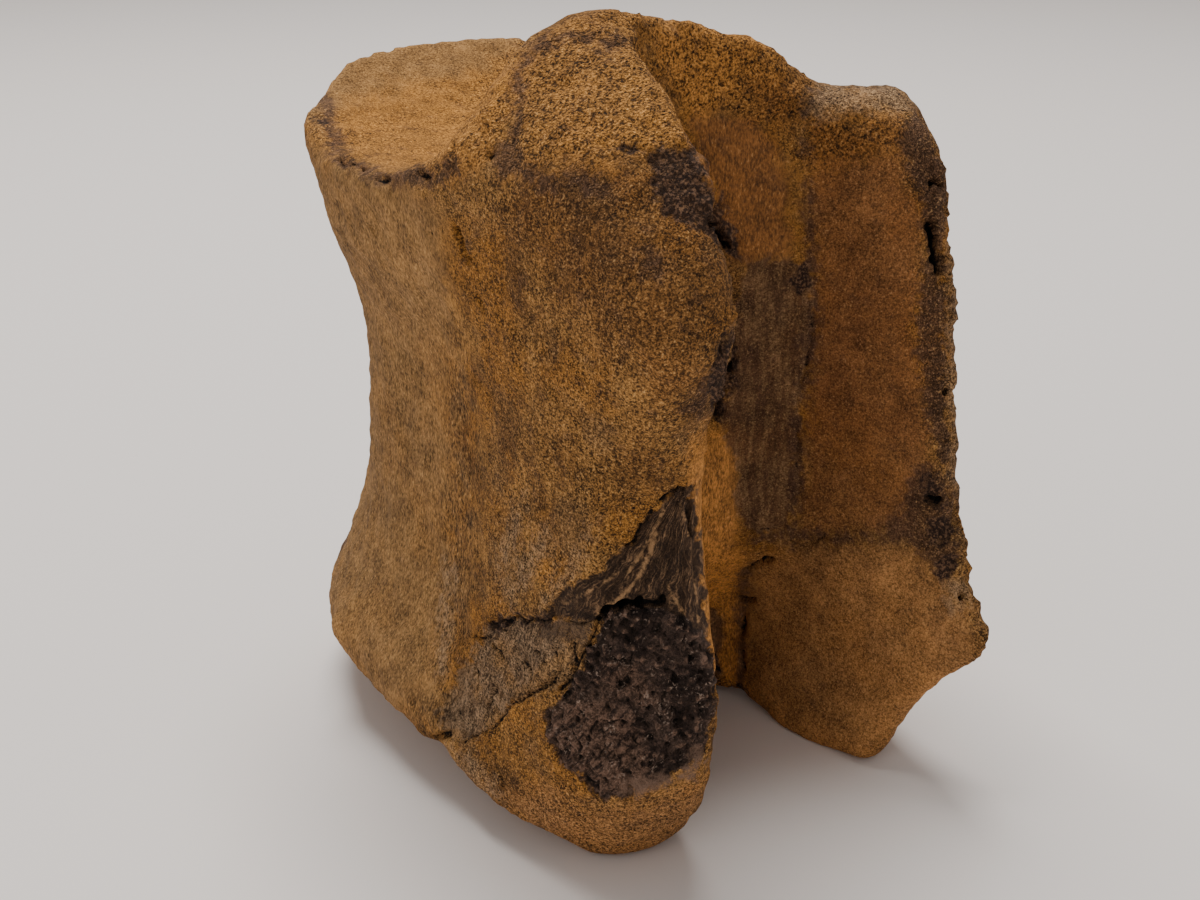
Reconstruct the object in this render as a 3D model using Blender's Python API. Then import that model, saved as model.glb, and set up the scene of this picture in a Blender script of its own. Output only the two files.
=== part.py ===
"""Fossil hadrosaur vertebra, standing on one end of its centrum.

The bone is one solid. Its column axis is +Z. The neural canal is an open trough that faces -Y, between
the stumps of the two pedicles, one at -X (the near one) and one at +X (the far one). The ventral side
of the centrum faces +Y. Sizes are in millimetres and become metres when the meshes are made.
"""

import math

import bmesh
import bpy
import numpy as np
from mathutils import Vector, noise

MM = 0.001

# The straight column that the bone is shaped from, before its two ends are given their relief
COLUMN_HEIGHT = 108.0
RING_COUNT = 55
POINTS_PER_SPAN = 8

# The centrum: a spool, wide at both rims and narrow at its waist. Pairs are (height, size)
CENTRUM_MIDDLE = 13.0
CENTRUM_NEAR_HALF = ((0, 43.0), (10, 42.2), (18, 38.8), (28, 35.7), (52, 33.3), (75, 34.8), (92, 39.3),
                     (108, 42.0))
CENTRUM_FAR_HALF = ((0, 39.5), (12, 39.0), (28, 35.0), (52, 32.0), (75, 33.5), (92, 37.5), (108, 40.0))
CENTRUM_BELLY = ((0, 48.5), (12, 47.5), (28, 42.5), (52, 39.0), (75, 39.5), (92, 42.5), (108, 44.5))
CENTRUM_SQUARENESS = 2.4
CENTRUM_FIRST_ANGLE = -14.0
CENTRUM_LAST_ANGLE = 192.0
CENTRUM_STATIONS = 11

# The pedicle stumps: how far each reaches towards -Y, and where its broken end lies across
NEAR_REACH = ((0, -36.0), (8, -41.8), (18, -46.3), (34, -49.8), (50, -45.0), (64, -43.5),
              (76, -46.5), (88, -50.0), (98, -50.5), (108, -43.0))
NEAR_END_INNER = ((0, -14.5), (34, -17.5), (60, -17.0), (92, -17.0), (100, -18.5), (108, -18.5))
NEAR_END_OUTER = ((0, -32.5), (34, -33.5), (60, -30.0), (90, -30.5), (108, -31.0))
NEAR_OUTER_FACE = ((0, -39.5), (20, -38.5), (52, -34.0), (80, -35.5), (108, -38.0))
FAR_REACH = ((0, -37.0), (7, -39.0), (14, -42.5), (21, -48.5), (27, -51.5), (34, -48.0), (48, -44.0),
             (68, -40.5), (90, -37.0), (108, -31.0))
FAR_END_INNER = ((0, 20.5), (28, 29.0), (60, 29.5), (108, 30.0))
FAR_END_OUTER = ((0, 33.0), (28, 35.0), (60, 36.0), (108, 36.5))
FAR_OUTER_FACE = ((0, 37.5), (52, 34.0), (80, 34.5), (108, 37.0))
NEAR_OUTER_FACE_PLACE = -22.0
FAR_OUTER_FACE_PLACE = -18.0
END_ROUNDING = 5.0
FAR_END_CREST = 0.7
NEAR_END_CREST = 0.4

# The neural canal: the places of its floor and of its two corners
CANAL_FLOOR = ((0, -2.0), (18, -4.0), (32, -13.0), (52, -14.5), (80, -15.0), (108, -13.0))
CANAL_CORNER = ((0, -5.5), (18, -7.0), (32, -17.5), (52, -18.5), (66, -21.0), (80, -20.5), (108, -18.0))
CANAL_NEAR_SIDE = ((0, -12.5), (52, -13.0), (90, -12.5), (108, -14.0))
CANAL_FAR_SIDE = ((0, 15.5), (30, 17.5), (108, 18.0))
CANAL_FLOOR_WIDTH = 0.55
CANAL_CORNER_ROUNDING = 0.25

# The upper end face: the height of its rim round the centrum, by angle from -X through +Y, and its dish
FACE_MIDDLE = (0.0, 21.0)
FACE_HALF_SIZE = (40.0, 35.0)
RIM_HEIGHTS = ((-90, 121.0), (-62, 118.0), (-53, 113.5), (-44, 103.5), (-30, 98.5), (0, 97.5), (35, 102.0),
               (62, 106.5), (90, 107.5), (125, 105.0), (180, 100.0), (225, 101.0), (250, 112.5), (270, 121.0))
DISH_FLOOR = 94.0
DISH_CURVE = 2.2
FACE_EDGE_LIMIT = 1.05

# The upper ends of the pedicle stumps, by place towards -Y
NEAR_TOP = ((-60, 91.0), (-52, 96.0), (-44, 104.0), (-34, 111.5), (-24, 116.5), (-14, 118.5), (-6, 118.5))
NEAR_TOP_CREST = -16.0
NEAR_TOP_FALL = 19.0
NEAR_TOP_FALL_REACH = 24.0
FAR_TOP = ((-60, 84.0), (-40, 90.0), (-34, 96.5), (-28, 101.5), (-22, 106.0), (-14, 105.0), (-8, 104.0))
FACE_TO_PEDICLES = (-9.0, -19.0)
NEAR_TO_FAR_TOP = (6.0, 20.0)

# The lower end face: a low swell that carries the bone, with a raised rim
LOWER_MIDDLE = (0.0, 22.0)
LOWER_HALF_SIZE = (40.5, 39.0)
LOWER_RIM_RISES = ((-40, 1.8), (-20, 5.5), (0, 8.3), (25, 9.5), (60, 7.0))
LOWER_RIM_START = 0.35
LOWER_RIM_END = 1.1
LOWER_CLEARANCE = 0.9
# The three places that touch the floor, and the radius of each
FEET = ((-24.0, -31.5), (22.5, -31.0), (1.0, 33.0))
FOOT_RADIUS = 4.5
FOOT_BLEND_RADIUS = 9.9
FOOT_DEPTH = 0.3

# Flat breaks, where a flake of bone has come away: (centre, the way it faces, radius, depth)
BREAKS = (
    ((-30.5, -45.0, 32.0), (-0.66, -0.74, 0.10), 14.0, 1.6),
    ((-38.5, -17.0, 25.0), (-0.99, -0.06, 0.12), 14.0, 0.8),
    ((-27.0, -42.5, 52.0), (-0.62, -0.74, 0.25), 9.0, 0.8),
    ((-22.5, -44.5, 101.0), (-0.34, -0.76, 0.55), 7.5, 1.0),
    ((29.0, -36.0, 92.0), (0.35, -0.93, 0.10), 7.0, 1.2),
    ((31.0, -42.0, 50.0), (0.45, -0.89, 0.05), 8.0, 1.0),
    ((31.0, -44.0, 14.0), (0.20, -0.80, -0.56), 8.0, 1.0),
)

# Sunken fracture faces with a stepped edge: (centre, the way it faces, half width, half height, depth)
RECESSES = (
    ((-31.6, -45.7, 34.6), (-0.70, -0.69, 0.18), 11.8, 13.4, 1.3),
    ((-25.5, -43.5, 50.0), (-0.62, -0.74, 0.25), 7.0, 6.0, 1.0),
)
RECESS_EDGE = (1.0, 0.86)
RECESS_REACH = 6.0

# Hollows and swellings: (centre, half sizes, the way it is pushed, how far)
STROKES = (
    ((-28.5, -44.0, 46.5), (5.0, 4.0, 2.6), (0.65, 0.75, 0.0), 3.2),
    ((-15.5, -48.0, 77.0), (5.0, 4.0, 5.0), (0.3, 1.0, 0.0), 1.6),
    ((-18.0, -46.0, 68.0), (4.0, 4.0, 3.0), (0.2, 1.0, 0.0), 1.2),
    ((-17.5, -52.5, 88.0), (5.0, 5.0, 3.0), (0.2, -1.0, 0.0), 1.2),
    ((-41.0, -6.0, 8.5), (4.0, 3.0, 2.5), (1.0, 0.0, 0.2), 1.8),
    ((36.0, -12.0, 60.0), (9.0, 10.0, 26.0), (-1.0, 0.2, 0.0), 1.4),
    ((0.0, 53.0, 54.0), (7.0, 9.0, 30.0), (0.0, 1.0, 0.0), 2.0),
    ((-17.0, 46.0, 56.0), (9.0, 9.0, 24.0), (0.3, -1.0, 0.0), 1.6),
    ((17.0, 46.0, 56.0), (9.0, 9.0, 24.0), (-0.3, -1.0, 0.0), 1.6),
    ((30.0, -48.0, 34.0), (6.0, 5.0, 4.0), (0.0, 1.0, 0.1), 1.0),
    ((32.0, -44.0, 76.0), (6.0, 4.0, 4.0), (0.1, 1.0, 0.0), 1.2),
)

# How far each break stays flat, as a share of its radius, and how far a stroke fades out, in half sizes
BREAK_CORE = 0.8
STROKE_REACH = 1.6

# Weathering all over: the sizes of its waves and how far they stand proud
WAVES = ((21.0, 0.55), (8.5, 0.30))
WEATHER_START = 8.0

# Mesh sizes
COLUMN_VOXEL = 1.7
COLUMN_SMOOTHING = 3
BODY_VOXEL = 1.5
BODY_SMOOTHING = 2
TRIANGLES = 9000

BONE_COLOUR = (0.33, 0.17, 0.06, 1.0)
BONE_ROUGHNESS = 0.85


def profile(pairs, at):
    """A smooth curve through (place, value) pairs, read at the given places."""
    places = np.array([pair[0] for pair in pairs], float)
    values = np.array([pair[1] for pair in pairs], float)
    slopes = np.gradient(values, places)
    at = np.clip(np.asarray(at, float), places[0], places[-1])
    span = np.clip(np.searchsorted(places, at, side="right") - 1, 0, len(places) - 2)
    length = places[span + 1] - places[span]
    u = (at - places[span]) / length
    start = (1 + 2 * u) * (1 - u) ** 2 * values[span] + u * (1 - u) ** 2 * length * slopes[span]
    end = u * u * (3 - 2 * u) * values[span + 1] + u * u * (u - 1) * length * slopes[span + 1]
    return start + end


def smooth_step(low, high, at):
    """0 below low, 1 above high, and an even rise between them."""
    u = np.clip((at - low) / (high - low), 0, 1)
    return u * u * (3 - 2 * u)


def between(first, second, share):
    """The value that lies a share of the way from the first to the second."""
    return first + (second - first) * share


def centrum_stations(height):
    """The centrum's wall at one height, from its near side round the belly to its far side."""
    near = profile(CENTRUM_NEAR_HALF, height)
    far = profile(CENTRUM_FAR_HALF, height)
    belly = profile(CENTRUM_BELLY, height)
    power = 2 / CENTRUM_SQUARENESS
    stations = []
    for angle in np.linspace(CENTRUM_FIRST_ANGLE, CENTRUM_LAST_ANGLE, CENTRUM_STATIONS):
        across = math.cos(math.radians(angle))
        along = math.sin(math.radians(angle))
        half = near if across > 0 else far
        x = -half * math.copysign(abs(across) ** power, across)
        y = CENTRUM_MIDDLE + belly * math.copysign(abs(along) ** power, along)
        stations.append((x, y))
    return stations


def pedicle_stations(height):
    """The far pedicle, the canal and the near pedicle at one height, back to the near side."""
    far_reach = profile(FAR_REACH, height)
    far_inner = profile(FAR_END_INNER, height)
    far_outer = profile(FAR_END_OUTER, height)
    near_reach = profile(NEAR_REACH, height)
    near_inner = profile(NEAR_END_INNER, height)
    near_outer = profile(NEAR_END_OUTER, height)
    floor = profile(CANAL_FLOOR, height)
    corner = profile(CANAL_CORNER, height)
    near_side = profile(CANAL_NEAR_SIDE, height)
    far_side = profile(CANAL_FAR_SIDE, height)
    middle = between(near_side, far_side, 0.5)
    floor_edge = between(floor, corner, CANAL_CORNER_ROUNDING)
    return [
        (profile(FAR_OUTER_FACE, height), FAR_OUTER_FACE_PLACE),
        (far_outer, far_reach + 2 * END_ROUNDING),
        (between(far_inner, far_outer, FAR_END_CREST), far_reach + END_ROUNDING),
        (far_inner, far_reach),
        (between(far_inner, far_side, 0.5), between(far_reach, corner, 0.5)),
        (far_side, corner),
        (between(middle, far_side, CANAL_FLOOR_WIDTH), floor_edge),
        (middle, floor),
        (between(middle, near_side, CANAL_FLOOR_WIDTH), floor_edge),
        (near_side, corner),
        (between(near_inner, near_side, 0.5), between(near_reach, corner, 0.5)),
        (near_inner, near_reach + END_ROUNDING / 2),
        (between(near_inner, near_outer, NEAR_END_CREST), near_reach),
        (near_outer, near_reach + END_ROUNDING),
        (profile(NEAR_OUTER_FACE, height), NEAR_OUTER_FACE_PLACE),
    ]


def closed_curve(stations):
    """A smooth closed line through the stations, with the same number of points in each span."""
    points = np.array(stations)
    before = np.roll(points, 1, axis=0)
    after = np.roll(points, -1, axis=0)
    beyond = np.roll(points, -2, axis=0)
    line = []
    for index in range(len(points)):
        for u in np.arange(POINTS_PER_SPAN) / POINTS_PER_SPAN:
            line.append(0.5 * (2 * points[index] + (after - before)[index] * u
                               + (2 * before - 5 * points + 4 * after - beyond)[index] * u * u
                               + (3 * points - before - 3 * after + beyond)[index] * u ** 3))
    return line


def column_object():
    """The bone as a straight column of sections with flat ends."""
    body = bmesh.new()
    rings = []
    for height in np.linspace(0, COLUMN_HEIGHT, RING_COUNT):
        line = closed_curve(centrum_stations(height) + pedicle_stations(height))
        rings.append([body.verts.new((x * MM, y * MM, height * MM)) for x, y in line])
    for lower, upper in zip(rings, rings[1:]):
        for index in range(len(lower)):
            following = (index + 1) % len(lower)
            body.faces.new((lower[index], lower[following], upper[following], upper[index]))
    body.faces.new(rings[0])
    body.faces.new(rings[-1])
    bmesh.ops.recalc_face_normals(body, faces=body.faces[:])
    bmesh.ops.triangulate(body, faces=[face for face in body.faces if len(face.verts) > 4])
    mesh = bpy.data.meshes.new("column")
    body.to_mesh(mesh)
    body.free()
    column = bpy.data.objects.new("column", mesh)
    bpy.context.scene.collection.objects.link(column)
    return column


def take_modifiers(shape):
    """Turns the shape's modifiers into its own mesh."""
    evaluated = shape.evaluated_get(bpy.context.evaluated_depsgraph_get())
    finished = bpy.data.meshes.new_from_object(evaluated)
    shape.modifiers.clear()
    shape.data = finished


def even_mesh(shape, voxel, smoothing):
    """Gives the shape an even mesh, and rounds its edges by a few rounds of smoothing."""
    remesh = shape.modifiers.new("even", "REMESH")
    remesh.mode = "VOXEL"
    remesh.voxel_size = voxel * MM
    rounding = shape.modifiers.new("rounding", "SMOOTH")
    rounding.factor = 0.5
    rounding.iterations = smoothing
    take_modifiers(shape)


def read_points(shape):
    """The shape's vertices in millimetres."""
    points = np.empty(len(shape.data.vertices) * 3)
    shape.data.vertices.foreach_get("co", points)
    return points.reshape(-1, 3) / MM


def write_points(shape, points):
    """Puts vertices in millimetres back into the shape."""
    shape.data.vertices.foreach_set("co", (points * MM).ravel())
    shape.data.update()


def upper_end(x, y):
    """The height of the bone's upper end over each place."""
    across = (x - FACE_MIDDLE[0]) / FACE_HALF_SIZE[0]
    along = (y - FACE_MIDDLE[1]) / FACE_HALF_SIZE[1]
    distance = np.hypot(across, along)
    angle = (np.degrees(np.arctan2(along, -across)) + 90) % 360 - 90
    rim = profile(RIM_HEIGHTS, angle)
    face = DISH_FLOOR + (rim - DISH_FLOOR) * np.clip(distance, 0, FACE_EDGE_LIMIT) ** DISH_CURVE
    fall = NEAR_TOP_FALL * (np.clip(NEAR_TOP_CREST - x, 0, None) / NEAR_TOP_FALL_REACH) ** 2
    near = profile(NEAR_TOP, y) - fall
    side = smooth_step(NEAR_TO_FAR_TOP[0], NEAR_TO_FAR_TOP[1], x)
    pedicle = between(near, profile(FAR_TOP, y), side)
    return between(face, pedicle, smooth_step(FACE_TO_PEDICLES[0], FACE_TO_PEDICLES[1], y))


def lower_end(x, y):
    """How far the bone's lower end is raised over each place."""
    across = (x - LOWER_MIDDLE[0]) / LOWER_HALF_SIZE[0]
    along = np.maximum(y - LOWER_MIDDLE[1], 0) / LOWER_HALF_SIZE[1]
    distance = np.hypot(across, along)
    rise = LOWER_CLEARANCE + profile(LOWER_RIM_RISES, y) * smooth_step(LOWER_RIM_START, LOWER_RIM_END, distance)
    for foot_x, foot_y in FEET:
        away = np.hypot(x - foot_x, y - foot_y)
        rise = rise * smooth_step(FOOT_RADIUS, FOOT_BLEND_RADIUS, away)
    return rise


def give_relief(points):
    """Shifts the column's ends to the relief of the two end faces."""
    x, y, z = points.T
    share = np.clip(z / COLUMN_HEIGHT, 0, 1)
    z = z + (upper_end(x, y) - COLUMN_HEIGHT) * share ** 2
    z = z + lower_end(x, y) * (1 - share) ** 2
    return np.stack([x, y, z], axis=1)


def unit(direction):
    """The direction with a length of 1."""
    return np.array(direction) / np.linalg.norm(direction)


def flatten(points, centre, facing, radius, depth):
    """Planes the surface down to a flat that lies the given depth under its centre."""
    facing = unit(facing)
    offset = points - np.array(centre)
    above = offset @ facing
    aside = np.linalg.norm(offset - np.outer(above, facing), axis=1)
    share = smooth_step(radius, BREAK_CORE * radius, aside) * (np.abs(above) < radius)
    return points - np.outer(np.clip(above + depth, 0, None) * share, facing)


def push(points, centre, half_sizes, direction, distance):
    """Pushes a soft oval patch of the surface along a direction."""
    reach = np.linalg.norm((points - np.array(centre)) / np.array(half_sizes), axis=1)
    share = smooth_step(STROKE_REACH, 0.0, reach)
    return points + np.outer(distance * share, unit(direction))


def sink(points, centre, facing, half_width, half_height, depth):
    """Sinks an oval face of a fracture under the surface round it."""
    facing = unit(facing)
    sideways = unit(np.cross((0, 0, 1), facing))
    upwards = np.cross(facing, sideways)
    offset = points - np.array(centre)
    distance = np.hypot(offset @ sideways / half_width, offset @ upwards / half_height)
    share = smooth_step(RECESS_EDGE[0], RECESS_EDGE[1], distance) * (np.abs(offset @ facing) < RECESS_REACH)
    return points - np.outer(depth * share, facing)


def weather(shape, points):
    """Uneven low waves along the surface's normals."""
    normals = np.empty(len(points) * 3)
    shape.data.vertices.foreach_get("normal", normals)
    height = np.zeros(len(points))
    for size, proud in WAVES:
        height += [proud * noise.noise(Vector(point / size)) for point in points]
    height *= smooth_step(0, WEATHER_START, points[:, 2])
    return points + normals.reshape(-1, 3) * height[:, None]


def sculpt(shape):
    """Adds the weathering, hollows, swellings, breaks and sunken fracture faces to the shape."""
    points = weather(shape, read_points(shape))
    for centre, half_sizes, direction, distance in STROKES:
        points = push(points, centre, half_sizes, direction, distance)
    for centre, facing, radius, depth in BREAKS:
        points = flatten(points, centre, facing, radius, depth)
    for centre, facing, half_width, half_height, depth in RECESSES:
        points = sink(points, centre, facing, half_width, half_height, depth)
    write_points(shape, points)


def set_on_floor(shape):
    """Cuts small flats under the lowest places and puts the origin at the middle of the bone's foot."""
    body = bmesh.new()
    body.from_mesh(shape.data)
    level = min(vertex.co.z for vertex in body.verts) + FOOT_DEPTH * MM
    everything = body.verts[:] + body.edges[:] + body.faces[:]
    cut = bmesh.ops.bisect_plane(body, geom=everything, plane_co=(0, 0, level), plane_no=(0, 0, -1),
                                 clear_outer=True)
    edges = [part for part in cut["geom_cut"] if isinstance(part, bmesh.types.BMEdge)]
    bmesh.ops.contextual_create(body, geom=edges)
    bmesh.ops.triangulate(body, faces=body.faces[:])
    bmesh.ops.recalc_face_normals(body, faces=body.faces[:])
    low = [min(vertex.co[axis] for vertex in body.verts) for axis in range(3)]
    high = [max(vertex.co[axis] for vertex in body.verts) for axis in range(3)]
    middle = Vector(((low[0] + high[0]) / 2, (low[1] + high[1]) / 2, level))
    bmesh.ops.translate(body, verts=body.verts[:], vec=-middle)
    body.to_mesh(shape.data)
    body.free()


def bone_material():
    """Tan fossil bone."""
    material = bpy.data.materials.new("fossil_bone")
    material.use_nodes = True
    shader = material.node_tree.nodes["Principled BSDF"]
    shader.inputs["Base Color"].default_value = BONE_COLOUR
    shader.inputs["Roughness"].default_value = BONE_ROUGHNESS
    shader.inputs["Metallic"].default_value = 0.0
    return material


def build():
    """Makes the bone."""
    for old in list(bpy.data.objects):
        bpy.data.objects.remove(old)
    bone = column_object()
    even_mesh(bone, COLUMN_VOXEL, COLUMN_SMOOTHING)
    write_points(bone, give_relief(read_points(bone)))
    even_mesh(bone, BODY_VOXEL, BODY_SMOOTHING)
    sculpt(bone)
    even_mesh(bone, BODY_VOXEL, 0)
    fewer = bone.modifiers.new("fewer", "DECIMATE")
    fewer.ratio = TRIANGLES / (2 * len(bone.data.polygons))
    take_modifiers(bone)
    set_on_floor(bone)
    bone.name = "vertebra"
    bone.data.name = "vertebra"
    bone.data.materials.clear()
    bone.data.materials.append(bone_material())


build()
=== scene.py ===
import math

import bpy
import numpy as np
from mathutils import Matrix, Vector, noise
from mathutils.bvhtree import BVHTree
from mathutils.kdtree import KDTree


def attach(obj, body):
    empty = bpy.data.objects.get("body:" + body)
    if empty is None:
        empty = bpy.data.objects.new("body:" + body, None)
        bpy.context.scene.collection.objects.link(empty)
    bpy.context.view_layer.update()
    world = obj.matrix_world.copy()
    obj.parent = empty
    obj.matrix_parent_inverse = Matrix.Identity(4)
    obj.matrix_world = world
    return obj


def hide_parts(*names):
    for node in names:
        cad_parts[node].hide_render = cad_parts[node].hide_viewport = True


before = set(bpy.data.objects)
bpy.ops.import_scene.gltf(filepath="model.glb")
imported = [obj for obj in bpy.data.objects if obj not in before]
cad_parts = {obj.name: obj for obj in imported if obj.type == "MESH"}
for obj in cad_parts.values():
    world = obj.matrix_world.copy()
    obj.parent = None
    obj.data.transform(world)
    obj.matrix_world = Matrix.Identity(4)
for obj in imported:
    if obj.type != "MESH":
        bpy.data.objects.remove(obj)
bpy.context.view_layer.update()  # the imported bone, which everything here is fitted to
mm = 0.001

# The photo's frame and the camera that took it, in the bone's own frame
photoView = {
    "width": 1200,
    "height": 900,
    "focal": 1650,  # pixels
    "place": (-0.13907, -0.20911, 0.148),
    "tiltDown": 22.0,
    "turn": -33.3,
    "sensor": 36.0,
}

# The skin's mesh. Sizes in this file are in millimetres unless a note says otherwise
boneSkin = {
    "voxel": 0.98,
    "smoothing": 9,
    "visibleSlack": 0.9,  # how far behind the first hit a point may lie and still count as seen
    "fieldLimit": 12.0,
    "raggedSize": 2.6,
    "ragged": 0.9,
    "refineFrom": -1.2,
    "refineCracksFrom": -0.7,
    "footZone": 2.5,  # the relief fades out this far above the floor
    "blotSize": 9.0,  # the stains on the hidden sides are this uneven
    "blot": 7.0,
    "blotShape": (1.0, 1.0, 0.6),  # they run long up and down
    "maskEdge": 0.5,  # half the width over which one kind of relief gives way to another
    "grooveEdge": (-0.35, 0.15),
    "crackReach": 3.0,  # how far from a crack its depth still counts
    "brokenShare": 0.9,  # how much of the sound relief a broken place loses
    "canalShare": 0.6,  # and the canal's floor
    "footRise": 0.2,  # the relief starts this far above the floor
    "lineStops": 9,  # how many places a line has from one stop to the next
    "wallFront": (-20, -8),  # the centrum's walls, along Y, and where their ends lie along Z
    "wallFoot": (6, 14),
    "wallHead": (100, 92),
    "faceFoot": (9, 1),  # the two end faces, along Z, and the front of the upper one, along Y
    "faceHead": (90, 104),
    "faceFront": (0, 14),
}

# The kinds of place that are broken open
broken = ("sponge", "fibre", "grey", "dark")

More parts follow.
